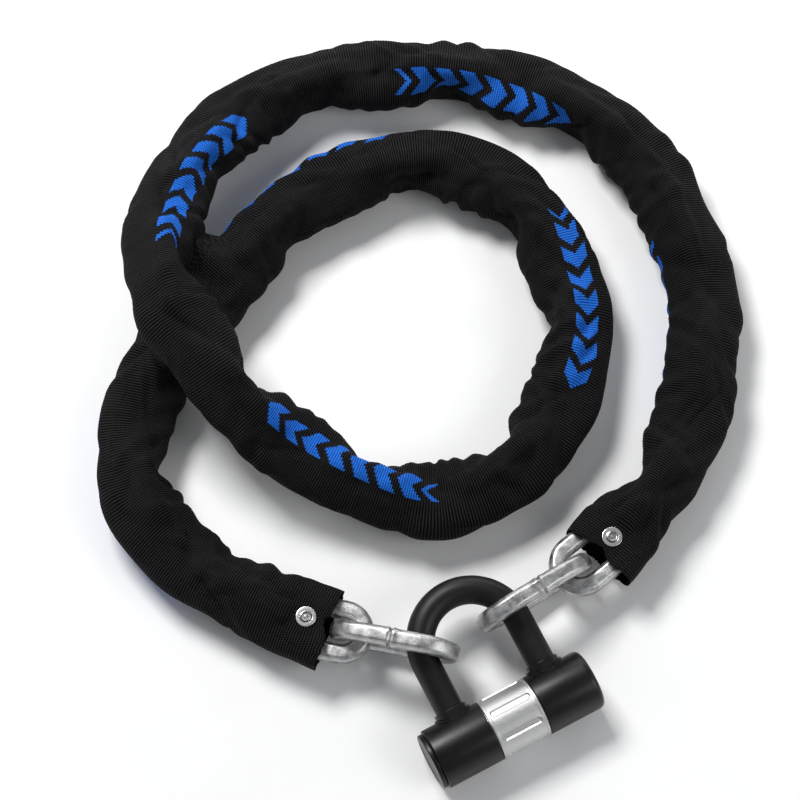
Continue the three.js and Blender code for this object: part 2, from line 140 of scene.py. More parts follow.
def zinc_plate():
    """Bright zinc plate, mottled, with small pits and duller patches."""
    material, tree, shader = new_material("zinc_plate")
    fine = noise_at(tree, 1500, 5, 0.65)
    broad = noise_at(tree, 220, 4)
    cells = node(tree, "ShaderNodeTexVoronoi", {"Scale": 520.0}, feature="F1").outputs[0]
    mottle = math_node(tree, "MULTIPLY", fine, broad)
    colour = mix_colour(tree, ramp(tree, mottle, 0.14, 0.36), grey(0.3), grey(0.62))
    link_input(tree, shader, "Base Color", colour)
    shader.inputs["Metallic"].default_value = 1.0
    wear = math_node(tree, "MULTIPLY_ADD", cells, 0.25, broad)
    link_input(tree, shader, "Roughness", ramp(tree, wear, 0.35, 0.85, 0.27, 0.5))
    height = math_node(tree, "MULTIPLY_ADD", fine, 0.6, broad)
    bump(tree, shader, height, 0.00022, 0.45)
    return material


def bright_steel(name, value, roughness, grain=600):
    """Plated or machined metal with a faint grain."""
    material, tree, shader = new_material(name)
    grains = noise_at(tree, grain, 5)
    link_input(tree, shader, "Base Color", mix_colour(tree, grains, grey(value * 0.8), grey(value)))
    shader.inputs["Metallic"].default_value = 1.0
    link_input(tree, shader, "Roughness", ramp(tree, grains, 0.3, 0.7, roughness * 0.8, roughness * 1.2))
    bump(tree, shader, grains, 0.0002, 0.2)
    return material


def brass_metal():
    material, tree, shader = new_material("brass")
    grains = noise_at(tree, 700, 5)
    colour = mix_colour(tree, grains, (0.42, 0.27, 0.08, 1), (0.66, 0.45, 0.16, 1))
    link_input(tree, shader, "Base Color", colour)
    shader.inputs["Metallic"].default_value = 1.0
    link_input(tree, shader, "Roughness", ramp(tree, grains, 0.3, 0.7, 0.26, 0.42))
    bump(tree, shader, grains, 0.0002, 0.2)
    return material


def black_plastic(name, value, roughness, pebble, depth):
    """Moulded black plastic: a fine pebbled skin with scuffs and a little dust."""
    material, tree, shader = new_material(name)
    skin = noise_at(tree, pebble, 3)
    scuffs = noise_at(tree, 55, 6, 0.7)
    dust = noise_at(tree, 2600, 2)
    worn = math_node(tree, "MULTIPLY", ramp(tree, scuffs, 0.55, 0.75), ramp(tree, dust, 0.45, 0.7))
    scuffed = (value * 2.4, value * 2.4, value * 2.7, 1)
    link_input(tree, shader, "Base Color", mix_colour(tree, worn, grey(value), scuffed))
    link_input(tree, shader, "Roughness", ramp(tree, scuffs, 0.3, 0.75, roughness - 0.06, roughness + 0.12))
    shader.inputs["Specular IOR Level"].default_value = 0.32
    bump(tree, shader, skin, depth, 0.5)
    return material


# All lengths in mm. The print is a run of chevrons, repeated along the sleeve.
PRINT_REPEAT = 200.0
MARK_LENGTH = 101.0
MARK_HALF_HEIGHT = 8.5
CHEVRON_PITCH = 14.0
CHEVRON_SHARE = 0.6
CHEVRON_SLANT = 0.75
# The weave has ribs round the tube, each a row of threads, and a sewn seam along it.
RIB = 1.3
THREAD = 1.05
STITCH = 2.6
SEAM_AT = 1.35                  # radians from the printed side
SLEEVE_RADIUS = 18.0
# Weave colours: the gap colours are painted shade between the ribs, and the thread colours are painted
# highlights on their crests.
BLACK_GAP_SHADE = (0.0003, 0.0003, 0.0004, 1)
BLACK_CREST_HIGHLIGHT = (0.034, 0.033, 0.036, 1)
BLUE_GAP_SHADE = (0.008, 0.075, 0.40, 1)
BLUE_CREST_HIGHLIGHT = (0.035, 0.26, 0.92, 1)
CLOTH_DUST = (0.018, 0.016, 0.013, 1)


def wave(tree, place):
    """0 at each whole number and 1 half way between."""
    turns = math_node(tree, "MULTIPLY", place, math.pi)
    return math_node(tree, "ABSOLUTE", math_node(tree, "SINE", turns))


def product(tree, *factors):
    """All the factors multiplied together."""
    result = factors[0]
    for factor in factors[1:]:
        result = math_node(tree, "MULTIPLY", result, factor)
    return result


def weave_height(tree, along, around):
    """Ribs round the tube, with every other row of threads moved by half a thread."""
    place = math_node(tree, "DIVIDE", along, RIB)
    row = math_node(tree, "FLOOR", place)
    thread_place = math_node(tree, "DIVIDE", around, THREAD)
    thread = wave(tree, math_node(tree, "MULTIPLY_ADD", row, 0.5, thread_place))
    rib = wave(tree, place)
    return math_node(tree, "MULTIPLY", rib, math_node(tree, "MULTIPLY_ADD", thread, 0.45, 0.55))


def chevrons(tree, printed, around):
    """1 on the printed chevrons, whose edges step from rib to rib."""
    share = math_node(tree, "FRACT", math_node(tree, "DIVIDE", printed, PRINT_REPEAT))
    run = math_node(tree, "MULTIPLY", share, PRINT_REPEAT)
    row = math_node(tree, "FLOOR", math_node(tree, "DIVIDE", run, RIB))
    stepped = math_node(tree, "MULTIPLY", row, RIB)
    from_middle = math_node(tree, "ABSOLUTE", around)
    slanted = math_node(tree, "MULTIPLY_ADD", from_middle, -CHEVRON_SLANT, stepped)
    repeat = math_node(tree, "FRACT", math_node(tree, "DIVIDE", slanted, CHEVRON_PITCH))
    stripe = math_node(tree, "LESS_THAN", repeat, CHEVRON_SHARE)
    inside = math_node(tree, "LESS_THAN", from_middle, MARK_HALF_HEIGHT)
    started = math_node(tree, "GREATER_THAN", slanted, 0.0)
    ended = math_node(tree, "LESS_THAN", slanted, MARK_LENGTH)
    return product(tree, stripe, inside, started, ended)


def seam_stitches(tree, along, turn):
    """Stitches of a sewn seam that runs along the tube."""
    from_seam = math_node(tree, "ABSOLUTE", math_node(tree, "SUBTRACT", turn, SEAM_AT))
    seam = ramp(tree, from_seam, 0.02, 0.07, 1.0, 0.0)
    return product(tree, seam, wave(tree, math_node(tree, "DIVIDE", along, STITCH)))


def sleeve_cloth():
    """Black ribbed weave with blue chevrons printed along it, coloured with painted shade in the rib gaps
    and painted highlights on the thread crests.
    """
    material, tree, shader = new_material("sleeve_cloth")

    def attribute(name):
        return node(tree, "ShaderNodeAttribute", attribute_name=name).outputs["Fac"]

    along = attribute("along")
    turn = math_node(tree, "ARCTAN2", attribute("turn_sin"), attribute("turn_cos"))
    around = math_node(tree, "MULTIPLY", turn, SLEEVE_RADIUS)
    height = weave_height(tree, along, around)
    mark = chevrons(tree, attribute("print"), around)
    stitch = seam_stitches(tree, along, turn)

    wear = noise_at(tree, 45, 5, 0.6)
    fluff = noise_at(tree, 1500, 3)
    # Painted light: the colour goes from painted shade in the rib gaps to painted highlights on the crests;
    # the same factor also sets the roughness.
    crest = math_node(tree, "POWER", height, 3.0)
    lit_crests = math_node(tree, "MULTIPLY", crest, ramp(tree, fluff, 0.25, 0.75, 0.5, 1.2))
    black_shaded_weave = mix_colour(tree, lit_crests, BLACK_GAP_SHADE, BLACK_CREST_HIGHLIGHT)
    dust = math_node(tree, "MULTIPLY", ramp(tree, wear, 0.5, 0.75), 0.5)
    dusty = mix_colour(tree, dust, black_shaded_weave, CLOTH_DUST)
    blue_shaded_weave = mix_colour(tree, lit_crests, BLUE_GAP_SHADE, BLUE_CREST_HIGHLIGHT)
    link_input(tree, shader, "Base Color", mix_colour(tree, mark, dusty, blue_shaded_weave))
    link_input(tree, shader, "Roughness", ramp(tree, lit_crests, 0.0, 1.0, 0.85, 0.55))
    shader.inputs["Specular IOR Level"].default_value = 0.05
    shader.inputs["Sheen Weight"].default_value = 0.012
    shader.inputs["Sheen Roughness"].default_value = 0.45
    sewn = math_node(tree, "MULTIPLY_ADD", stitch, 0.9, height)
    relief = math_node(tree, "MULTIPLY_ADD", fluff, 0.25, sewn)
    bump(tree, shader, relief, 0.00045, 1.0)
    return material


MATERIALS = {
    "cloth": sleeve_cloth(),
    "zinc": zinc_plate(),
    "washer": bright_steel("washer_steel", 0.92, 0.22, 1500),
    "rivet": bright_steel("rivet_steel", 0.5, 0.3, 1500),
    "steel": bright_steel("hardened_steel", 0.55, 0.34),
    "collar": bright_steel("satin_plate", 0.62, 0.46, 1200),
    "vinyl": black_plastic("vinyl", 0.003, 0.42, 1800, 0.00008),
    "cover": black_plastic("cover_plastic", 0.003, 0.33, 2600, 0.00006),
    "brass": brass_metal(),
}

# ---- Mesh helpers ----------------------------------------------------------------


def make_object(name, points, faces, material, smooth_angle=math.radians(35)):
    mesh = bpy.data.meshes.new(name)
    mesh.from_pydata([tuple(p) for p in points], [], faces)
    mesh.validate()
    made = bpy.data.objects.new(name, mesh)
    scene.collection.objects.link(made)
    mesh.materials.append(MATERIALS[material])
    shade(made, smooth_angle)
    return made


def shade(made, angle):
    mesh = made.data
    mesh.shade_smooth()
    mesh.set_sharp_from_angle(angle=angle)


def grid_faces(rows, columns, first=0, close_rows=False):
    """Quads of a grid whose columns run round; close_rows joins the last row to the first."""
    faces = []
    for i in range(rows if close_rows else rows - 1):
        low = first + i * columns
        high = first + (i + 1) % rows * columns
        for j in range(columns):
            k = (j + 1) % columns
            faces.append((low + j, low + k, high + k, high + j))
    return faces


def turned(name, profile, material, matrix, segments=96):
    """Closed solid of revolution about X from a closed outline of (x, radius), in mm."""
    angles = np.arange(segments) * 2 * math.pi / segments
    points = []
    for x, radius in profile:
        for a in angles:
            points.append(matrix @ Vector((x, radius * math.cos(a), radius * math.sin(a))) * MM)
    faces = grid_faces(len(profile), segments, close_rows=True)
    made = make_object(name, points, faces, material)
    weld(made)
    return made


def weld(made):
    """Merges points that coincide and turns all faces outwards."""
    work = bmesh.new()
    work.from_mesh(made.data)
    bmesh.ops.remove_doubles(work, verts=work.verts, dist=1e-6)
    bmesh.ops.dissolve_degenerate(work, edges=work.edges, dist=1e-7)
    bmesh.ops.recalc_face_normals(work, faces=work.faces)
    work.to_mesh(made.data)
    work.free()
    shade(made, math.radians(35))


def rounded(profile, radii, steps=5):
    """Rounds the corners of a closed outline; radii holds one radius for each corner."""
    out = []
    count = len(profile)
    for i, radius in enumerate(radii):
        here = Vector(profile[i])
        before = Vector(profile[i - 1]) - here
        after = Vector(profile[(i + 1) % count]) - here
        if radius == 0:
            out.append(tuple(here))
            continue
        reach = min(radius, before.length / 2, after.length / 2)
        start = here + before.normalized() * reach
        end = here + after.normalized() * reach
        for k in range(steps + 1):
            t = k / steps
            out.append(tuple(start * (1 - t) ** 2 + here * 2 * t * (1 - t) + end * t ** 2))
    return out


def as_cutter(work):
    mesh = bpy.data.meshes.new("cutter")
    work.to_mesh(mesh)
    work.free()
    return bpy.data.objects.new("cutter", mesh)


def cylinder(axis, radius, low, high, centre=(0, 0, 0), segments=96):
    """A plain closed cylinder in mm, as a cutter."""
    work = bmesh.new()
    bmesh.ops.create_cone(
        work, cap_ends=True, segments=segments, radius1=radius, radius2=radius, depth=high - low)
    turn = {"x": Matrix.Rotation(math.pi / 2, 4, "Y"), "y": Matrix.Rotation(-math.pi / 2, 4, "X")}
    way = {"x": Vector((1, 0, 0)), "y": Vector((0, 1, 0))}
    middle = Vector(centre) + way[axis] * (low + high) / 2
    bmesh.ops.transform(work, matrix=Matrix.Translation(middle) @ turn[axis], verts=work.verts)
    return as_cutter(work)


def block(size, centre):
    """A plain closed block in mm, as a cutter."""
    work = bmesh.new()
    matrix = Matrix.Translation(centre) @ Matrix.Diagonal((*size, 1))
    bmesh.ops.create_cube(work, size=1, matrix=matrix)
    return as_cutter(work)


def carve(made, cutter, matrix, operation="DIFFERENCE"):
    """Cuts a piece with a cutter given in mm in the piece's own frame."""
    cutter.data.transform(Matrix.Scale(MM, 4) @ matrix)
    scene.collection.objects.link(cutter)
    modifier = made.modifiers.new("carve", "BOOLEAN")
    modifier.operation = operation
    modifier.solver = "EXACT"
    modifier.object = cutter
    bake_modifiers(made)
    bpy.data.objects.remove(cutter)
    shade(made, math.radians(35))


def join(piece, other):
    """Adds another piece's mesh to a piece."""
    work = bmesh.new()
    work.from_mesh(piece.data)
    work.from_mesh(other.data)
    work.to_mesh(piece.data)
    work.free()
    bpy.data.objects.remove(other)


def bake_modifiers(made):
    graph = bpy.context.evaluated_depsgraph_get()
    mesh = bpy.data.meshes.new_from_object(made.evaluated_get(graph))
    made.modifiers.clear()
    made.data = mesh


def soften(made, width):
    """Rounds a piece's sharp edges; width is in mm."""
    modifier = made.modifiers.new("round", "BEVEL")
    modifier.width = width * MM
    modifier.segments = 3
    modifier.limit_method = "ANGLE"
    modifier.angle_limit = math.radians(40)
    bake_modifiers(made)
    shade(made, math.radians(50))


# ---- Route of the sleeve ---------------------------------------------------------

SLEEVE_HEIGHT = 36.6
# The same points as the CAD route: x, y and lift off the floor, in mm.
ROUTE = [
    (89, -88, 0), (117, -52, 0), (137, -18, 0), (148, 35, 0), (141, 86, 0), (119, 133, 0),
    (76, 169, 0), (32, 183, 0), (-11, 186, 0), (-60, 179, 0), (-100, 156, 4), (-126, 116, 14),
    (-135, 71, 31), (-128, 35, 40), (-110, 9, 38), (-92, -14, 27), (-67, -32, 13), (-30, -50, 4),
    (9, -58, 0), (45, -42, 0), (69, -10, 0), (81, 30, 0), (73, 71, 0), (54, 107, 0),
    (25, 128, 0), (-11, 131, 0), (-48, 118, 0), (-83, 89, 0), (-111, 53, 0), (-134, 19, 0),
    (-147, -21, 0), (-144, -58, 0), (-118, -89, 0), (-86, -109, 0), (-47, -126, 0),
]


def spline(points, steps):
    """Centripetal Catmull-Rom curve through points, as the CAD route is."""
    points = np.array(points, float)
    first = 2 * points[0] - points[1]
    last = 2 * points[-1] - points[-2]
    padded = np.vstack([first, points, last])
    out = []
    for i in range(1, len(padded) - 2):
        p = padded[i - 1:i + 3]
        d0, d1, d2 = np.linalg.norm(np.diff(p, axis=0), axis=1) ** 0.5
        m1 = (p[1] - p[0]) / d0 - (p[2] - p[0]) / (d0 + d1) + (p[2] - p[1]) / d1
        m2 = (p[2] - p[1]) / d1 - (p[3] - p[1]) / (d1 + d2) + (p[3] - p[2]) / d2
        m1, m2 = m1 * d1, m2 * d1
        t = np.linspace(0, 1, steps, endpoint=False)[:, None]
        out.append((2 * t ** 3 - 3 * t ** 2 + 1) * p[1] + (t ** 3 - 2 * t ** 2 + t) * m1
                   + (3 * t ** 2 - 2 * t ** 3) * p[2] + (t ** 3 - t ** 2) * m2)
    out.append(padded[-2][None])
    return np.vstack(out)


def route_frames(step):
    """Centres, tangents, left sides and tops along the route, and the distances along it."""
    curve = spline([(x, y, lift + SLEEVE_HEIGHT / 2) for x, y, lift in ROUTE], 60)
    curve[:, 2] = np.maximum(curve[:, 2], SLEEVE_HEIGHT / 2)
    length = np.concatenate([[0], np.cumsum(np.linalg.norm(np.diff(curve, axis=0), axis=1))])
    along = np.linspace(0, length[-1], round(length[-1] / step) + 1)
    centre = np.stack([np.interp(along, length, curve[:, k]) for k in range(3)], 1)
    tangent = np.gradient(centre, axis=0)
    tangent /= np.linalg.norm(tangent, axis=1)[:, None]
    side = np.cross((0, 0, 1), tangent)
    side /= np.linalg.norm(side, axis=1)[:, None]
    return along, centre, tangent, side, np.cross(tangent, side)


# ---- Sleeve ----------------------------------------------------------------------

AROUND = 80                     # points in each ring of the cloth
ROW_STEP = 2.0                  # mm from one ring to the next
# Half width of the sleeve, and its half height above and below the route where no link holds it.
HALF_WIDTH = 19.4
LOOSE_TOP = 10.5
LOOSE_UNDER = 17.0
CLOTH_OVER_LINK = 1.2
LEAST_OVER_LINK = 0.7
TAUT_SHARE = 0.8
FLOOR_GAP = 0.35
PATH_STEP = 6                   # rows of the cloth between two points of the cord's path
# The cloth is flat for a stretch at each end and then opens out.
FLAT_LENGTH = (15.2, 17.2)
OPENS_OVER = 13.0
FLAT_POWER = 3.4
# Thickness of the cloth near the open ends, where it shows, and between them.
END_WALL = 1.1
END_WALL_REACH = 40
HIDDEN_WALL = 1.9
# Near the ends the inner wall has every ring, and elsewhere one ring in five.
FINE_REACH = 44
COARSE_STEP = 5
# The cut edge of the cloth: how much it slants, is pulled in and frays, and how far that reaches in.
CUT_SLANT = 1.4
CUT_PULL = 3.8
CUT_FRAY = 0.45
CUT_REACH = 12
# Where the cloth is drawn in on the inner side of the bend: distance, depth and reach, in mm.
DRAWN_IN = [
    (49, 12, 15), (163, 7, 14), (245, 7, 13), (286, 12, 14), (360, 14, 15), (438, 11, 15),
    (523, 4, 14), (597, 13, 15), (678, 13, 15), (760, 12, 16), (846, 11, 15), (935, 8, 14),
    (1000, 12, 14), (1076, 12, 15), (1148, 11, 15), (1238, 5, 14), (1308, 13, 16), (1382, 11, 16),
]
# The way the printed side of the cloth faces: distance and angle from the top to the inner side.
PRINT_FACES = [
    (0, 122), (150, 118), (341, 46), (539, 30), (750, 16), (945, -26), (1090, -92), (1330, -125),
    (1452, -140),
]
PRINT_STARTS = [88, 286, 484, 693, 892, 1080, 1280]


def bell(sigma):
    """Weights of a Gaussian blur, and how far they reach."""
    reach = int(3 * sigma) + 1
    weights = np.exp(-0.5 * (np.arange(-reach, reach + 1) / sigma) ** 2)
    return reach, weights / weights.sum()


def smooth_rows(field, sigma):
    reach, weights = bell(sigma)
    padded = np.pad(field, ((reach, reach), (0, 0)), mode="edge")
    return sum(weight * padded[i:i + len(field)] for i, weight in enumerate(weights))


def smooth_round(field, sigma):
    reach, weights = bell(sigma)
    return sum(weight * np.roll(field, i - reach, axis=1) for i, weight in enumerate(weights))


def link_reach(centre, side, top, angles):
    """How far out the links reach from the route, in each direction round it, in mm."""
    work = bmesh.new()
    for name, cad in nodes.items():
        if name.startswith(("link_", "riveted_link")):
            work.from_mesh(cad.data)
    tree = BVHTree.FromBMesh(work)
    work.free()
    far = 32.0
    reach = np.zeros((len(centre), len(angles)))
    for i in range(len(centre)):
        for j, angle in enumerate(angles):
            way = math.cos(angle) * side[i] + math.sin(angle) * top[i]
            hit = tree.ray_cast(Vector((centre[i] + far * way) * MM), Vector(-way), far * MM)
            if hit[3] is not None:
                reach[i, j] = far - hit[3] / MM
    return reach


def soft_max(a, b, width):
    """The larger of a and b, with the change from one to the other smoothed over width."""
    near = np.maximum(width - np.abs(a - b), 0) / width
    return np.maximum(a, b) + near ** 2 * width / 4


def stretched_round(radius, angles):
    """Pulls each ring straight between the points that hold it out, like a taut band."""
    across = np.cos(angles[:, None] - angles[None])
    support = np.max(radius[:, :, None] * across[None], axis=1)
    facing = np.where(across > 0.2, across, np.nan)
    return np.nanmin(support[:, None] / facing[None], axis=2)


def turn_from(facing, turn):
    """Angle from facing to turn, in degrees, from -180 to 180."""
    return (turn - facing + 180) % 360 - 180


def folds(along, angles, bend):
    """Creases in the cloth: the deepest are on the inner side of the tightest bends."""
    rng = random.Random(11)
    field = np.zeros((len(along), len(angles)))
    turn = np.degrees(angles)

    def crease(at, facing, spread, lean, width, depth):
        """A valley across the tube with a low ridge on both sides of it."""
        rows = np.where(np.abs(along - at) < 30)[0]
        off = turn_from(facing, turn)
        fade = np.exp(-(off / spread) ** 2)
        away = along[rows][:, None] - at - lean * np.radians(off)[None]
        valley = np.exp(-(np.abs(away) / width) ** 1.3)
        ridge = 0.55 * np.exp(-((np.abs(away) - 2.1 * width) / (1.2 * width)) ** 2)
        field[rows] += depth * (ridge - valley) * fade[None]

    at = 8.0
    while at < along[-1] - 30:
        tightness = np.interp(at, along, bend)
        depth = rng.uniform(0.9, 2.3) * (0.6 + 0.6 * tightness)
        facing = rng.gauss(15, 26)
        spread = rng.uniform(32, 75)
        lean = rng.uniform(-12, 12)
        crease(at, facing, spread, lean, rng.uniform(2.2, 4.6), depth)
        at += rng.uniform(8, 16)
    at = 15.0
    while at < along[-1] - 20:
        facing = rng.uniform(40, 215)
        spread = rng.uniform(20, 50)
        lean = rng.uniform(-30, 30)
        width = rng.uniform(2.6, 6.0)
        crease(at, facing, spread, lean, width, rng.uniform(0.7, 2.1))
        at += rng.uniform(6, 14)
    # Long shallow hollows and swellings that run along the tube between the links.
    for _ in range(110):
        away = along - rng.uniform(20, along[-1] - 20)
        off = turn_from(rng.uniform(20, 190), turn)
        depth = rng.uniform(-1.5, 1.5)
        lengthways = (away / rng.uniform(9, 20)) ** 2
        crossways = (off / rng.uniform(9, 22)) ** 2
        field += depth * np.exp(-lengthways[:, None] - crossways[None])
    return field


def flatness(s, length):
    """1 where the sleeve's end is flat, falling to 0 where it has opened out."""
    into = min(s - FLAT_LENGTH[0], length - s - FLAT_LENGTH[1]) / OPENS_OVER
    return 1 - math.sin(math.pi / 2 * min(max(into, 0), 1))


def oval(cos, sin, wide, tall, power):
    """Radius, in each direction, of an oval with the given half width and half height."""
    return ((np.abs(cos) / wide) ** power + (np.abs(sin) / tall) ** power) ** (-1 / power)


def loose_cloth(along, cos, sin):
    """Radius of the cloth where no link holds it out, drawn in on the inner side of the bends."""
    drawn = sum(depth * np.exp(-((along - at) / reach) ** 2) for at, depth, reach in DRAWN_IN)
    waves = 0.8 * np.sin(along * 0.079 + 1.0) + 0.7 * np.sin(along * 0.143)
    wide = np.where(cos > 0, (HALF_WIDTH - drawn)[:, None], (HALF_WIDTH + waves)[:, None])
    return oval(cos, sin, wide, np.where(sin > 0, LOOSE_TOP, LOOSE_UNDER), 2.1)


def flat_cloth(along, cos, sin):
    """Radius of the cloth at the ends, where it is pressed flat round the rivets."""
    wide = 20.7 + 0.25 * np.sin(along * 0.3)[:, None]
    tall = 9.1 + 1.1 * np.abs(cos) ** 2
    return oval(cos, sin, wide, tall, FLAT_POWER)


def widened(reach):
    """Spreads each link's reach to the neighbouring points, so that the cloth clears its edges."""
    spread = reach.copy()
    for shift in (-1, 1):
        spread = np.maximum(spread, np.roll(reach, shift, axis=0))
    for shift in (-1, 1):
        spread = np.maximum(spread, np.roll(spread, shift, axis=1) - 0.5)
    return spread


def sleeve_surface():
    """The route's frames and the radius of the cloth in each direction round it, in mm."""
    along, centre, tangent, side, top = route_frames(ROW_STEP)
    angles = np.arange(AROUND) * 2 * math.pi / AROUND
    cos, sin = np.cos(angles)[None], np.sin(angles)[None]
    heading = np.unwrap(np.arctan2(tangent[:, 1], tangent[:, 0]))
    bend = np.clip(np.gradient(heading, along) * 80, 0, 2)

    spread = widened(link_reach(centre, side, top, angles))
    held = soft_max(loose_cloth(along, cos, sin), spread + CLOTH_OVER_LINK, 2.0)
    taut = stretched_round(held, angles)
    mixed = TAUT_SHARE * taut + (1 - TAUT_SHARE) * held
    radius = smooth_round(smooth_rows(mixed, 1.9), 0.9)

    ends = np.array([flatness(s, along[-1]) for s in along])[:, None]
    radius = radius * (1 - ends) + flat_cloth(along, cos, sin) * ends
    radius += folds(along, angles, bend) * (1 - 0.75 * ends)
    radius = np.maximum(radius, np.where(ends > 0.5, 0, spread + LEAST_OVER_LINK))
    return along, centre, side, top, angles, radius


def cut_edge(along, angles):
    """How far the cloth at each end is moved inwards: pulled in at the middle, frayed at the edge."""
    rng = random.Random(5)
    shift = np.zeros((len(along), len(angles)))
    for sign, away in ((1, along), (-1, along[-1] - along)):
        fray = np.array([rng.uniform(-CUT_FRAY, CUT_FRAY) for _ in angles])
        slant = CUT_SLANT * np.cos(angles + 0.5)
        pulled = CUT_PULL * np.exp(-((angles - 1.45) / 0.55) ** 2) - 0.6
        share = np.clip(1 - away / CUT_REACH, 0, 1)[:, None]
        shift += sign * share * (slant + pulled + fray * (share > 0.75))
    return shift


def tube_faces(outer_rows, inner_rows):
    """Faces of a thick tube: its outer wall, its inner wall and the rims between them."""
    inner = outer_rows * AROUND
    last = inner - AROUND
    last_inner = inner + (inner_rows - 1) * AROUND
    faces = [tuple(reversed(face)) for face in grid_faces(outer_rows, AROUND)]
    faces += grid_faces(inner_rows, AROUND, first=inner)
    for j in range(AROUND):
        k = (j + 1) % AROUND
        faces.append((k, inner + k, inner + j, j))
        faces.append((last + j, last_inner + j, last_inner + k, last + k))
    return faces


def mark_cloth(made, row_along, angles):
    """Stores what the weave and the print need at each point of the cloth."""
    distance = np.repeat(row_along, AROUND)
    facing = np.radians(90 - np.interp(distance, *zip(*PRINT_FACES)))
    turn = facing - np.tile(angles, len(row_along))
    starts = [PRINT_STARTS[0] - PRINT_REPEAT, *PRINT_STARTS, PRINT_STARTS[-1] + PRINT_REPEAT]
    printed = np.interp(distance, starts, PRINT_REPEAT * np.arange(len(starts)))
    values = {"along": distance, "print": printed, "turn_sin": np.sin(turn), "turn_cos": np.cos(turn)}
    for name, value in values.items():
        layer = made.data.attributes.new(name, "FLOAT", "POINT")
        layer.data.foreach_set("value", value.astype(np.float32))


def make_sleeve():
    along, centre, side, top, angles, radius = sleeve_surface()
    cos, sin = np.cos(angles)[None, :, None], np.sin(angles)[None, :, None]
    way = cos * side[:, None] + sin * top[:, None]
    outer = centre[:, None] + radius[..., None] * way
    outer += cut_edge(along, angles)[..., None] * np.gradient(centre, along, axis=0)[:, None]
    outer[..., 2] = np.maximum(outer[..., 2], FLOOR_GAP)
    from_end = np.minimum(along, along[-1] - along)
    rows = [i for i in range(len(along)) if from_end[i] < FINE_REACH or i % COARSE_STEP == 0]
    wall = np.where(from_end[rows] < END_WALL_REACH, END_WALL, HIDDEN_WALL)[:, None, None]
    inner = outer[rows] - wall * way[rows]
    points = np.vstack([outer.reshape(-1, 3), inner.reshape(-1, 3)]) * MM
    faces = tube_faces(len(along), len(rows))
    made = make_object("cloth_sleeve", points, faces, "cloth", math.radians(80))
    mark_cloth(made, np.concatenate([along, along[rows]]), angles)

    path = [Vector(p) * MM for p in centre[::PATH_STEP]]
    if (len(centre) - 1) % PATH_STEP:
        path.append(Vector(centre[-1]) * MM)
    return made, path, along[-1]


sleeve, sleeve_path, sleeve_length = make_sleeve()
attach(sleeve, "chain")
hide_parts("sleeve")

# ---- Chain links outside the sleeve ----------------------------------------------

BAR = 9.4
BAR_CHAMFER = 2.0
BAR_ROUNDING = 0.8
WEAR = 0.12                     # how far the surface has worn back, in mm
DENTS = 0.05
TURN_STEPS = 24
SIDE_STEPS = 28


def link_frame(name):
    """Centre, long, wide and flat directions of a CAD link, from its own shape."""
    points = np.array([v.co for v in nodes[name].data.vertices])
    axes = np.linalg.eigh(np.cov((points - points.mean(0)).T))[1]
    shares = points @ axes
    centre = axes @ ((shares.max(0) + shares.min(0)) / 2)
    flat, wide, long = axes.T
    if np.dot(np.cross(long, wide), flat) < 0:
        flat = -flat
    if wide[2] < 0:
        wide, flat = -wide, -flat
    return Vector(centre) / MM, Vector(long), Vector(wide), Vector(flat)


def link_track(length, width):
    """Points along the middle of a link's bar, each with its outward direction, in mm."""
    radius = (width - BAR) / 2
    straight = length / 2 - BAR / 2 - radius
    track = []
    for side in (1, -1):
        for i in range(TURN_STEPS + 1):
            angle = math.pi * (i / TURN_STEPS - side / 2)
            cos, sin = math.cos(angle), math.sin(angle)
            track.append((side * straight + radius * cos, radius * sin, cos, sin))
        for i in range(1, SIDE_STEPS):
            track.append((side * straight * (1 - 2 * i / SIDE_STEPS), side * radius, 0, side))
    return track


def bar_section():
    """Outline of the square bar, with chamfered and rounded edges, in mm."""
    half, low = BAR / 2, BAR / 2 - BAR_CHAMFER
    corners = [(half, low), (low, half), (-low, half), (-half, low)]
    corners += [(-x, -y) for x, y in corners]
    return rounded(corners, [BAR_ROUNDING] * len(corners), 3)


def weld_height(x, outward):
    """The weld half way along one side: a fine groove between two low swellings."""
    if outward < 0.99:
        return 0
    groove = 0.55 * math.exp(-(x / 0.55) ** 2)
    return 0.35 * math.exp(-((abs(x) - 1.6) / 1.1) ** 2) - groove


def make_link(name, length, width, seed):
    """Link of square bar with a weld in one side and a slightly worn surface."""
    centre, long, wide, flat = link_frame(name)
    rng = random.Random(seed)
    long_phase, wide_phase = rng.uniform(0, 6), rng.uniform(0, 6)
    track = link_track(length, width)
    section = bar_section()
    points = []
    for x, y, out_x, out_y in track:
        weld_here = weld_height(x, out_y)
        for u, v in section:
            dents = math.sin(x * 0.31 + long_phase + v) + math.sin(y * 0.47 + wide_phase + u)
            scale = 1 + (weld_here + DENTS * dents - WEAR) / (BAR / 2)
            out, up = u * scale, v * scale
            place = centre + long * (x + out_x * out) + wide * (y + out_y * out) + flat * up
            points.append(place * MM)
    faces = grid_faces(len(track), len(section), close_rows=True)
    made = make_object("zinc_" + name, points, faces, "zinc")
    weld(made)
    return made


LINKS = {
    "riveted_link_right": ("chain", 61.0, 32.0),
    "riveted_link_left": ("chain", 61.0, 32.0),
    "shackle_link_right": ("right_link", 66.5, 37.0),
    "shackle_link_left": ("left_link", 66.5, 37.0),
}
for seed, (name, (body, length, width)) in enumerate(LINKS.items()):
    link = make_link(name, length, width, seed)
    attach(link, body)
    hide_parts(name)

# ---- Rivets and washers ----------------------------------------------------------


WASHER_HOLE = 2.2
WASHER_CREST = 3.3
WASHER_RADIUS = 5.1
RIVET_RADIUS = 1.9
RIVET_HEAD = 2.75
RIVET_HEAD_HEIGHT = 0.95


def upright(name):
    """Frame whose X runs up through a round CAD piece, in mm, and the piece's heights."""
    low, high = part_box(name)
    centre = (Vector(low) + Vector(high)) / 2 / MM
    axis = Matrix.Translation((centre.x, centre.y, 0)) @ Matrix.Rotation(-math.pi / 2, 4, "Y")
    return axis, low[2] / MM, high[2] / MM


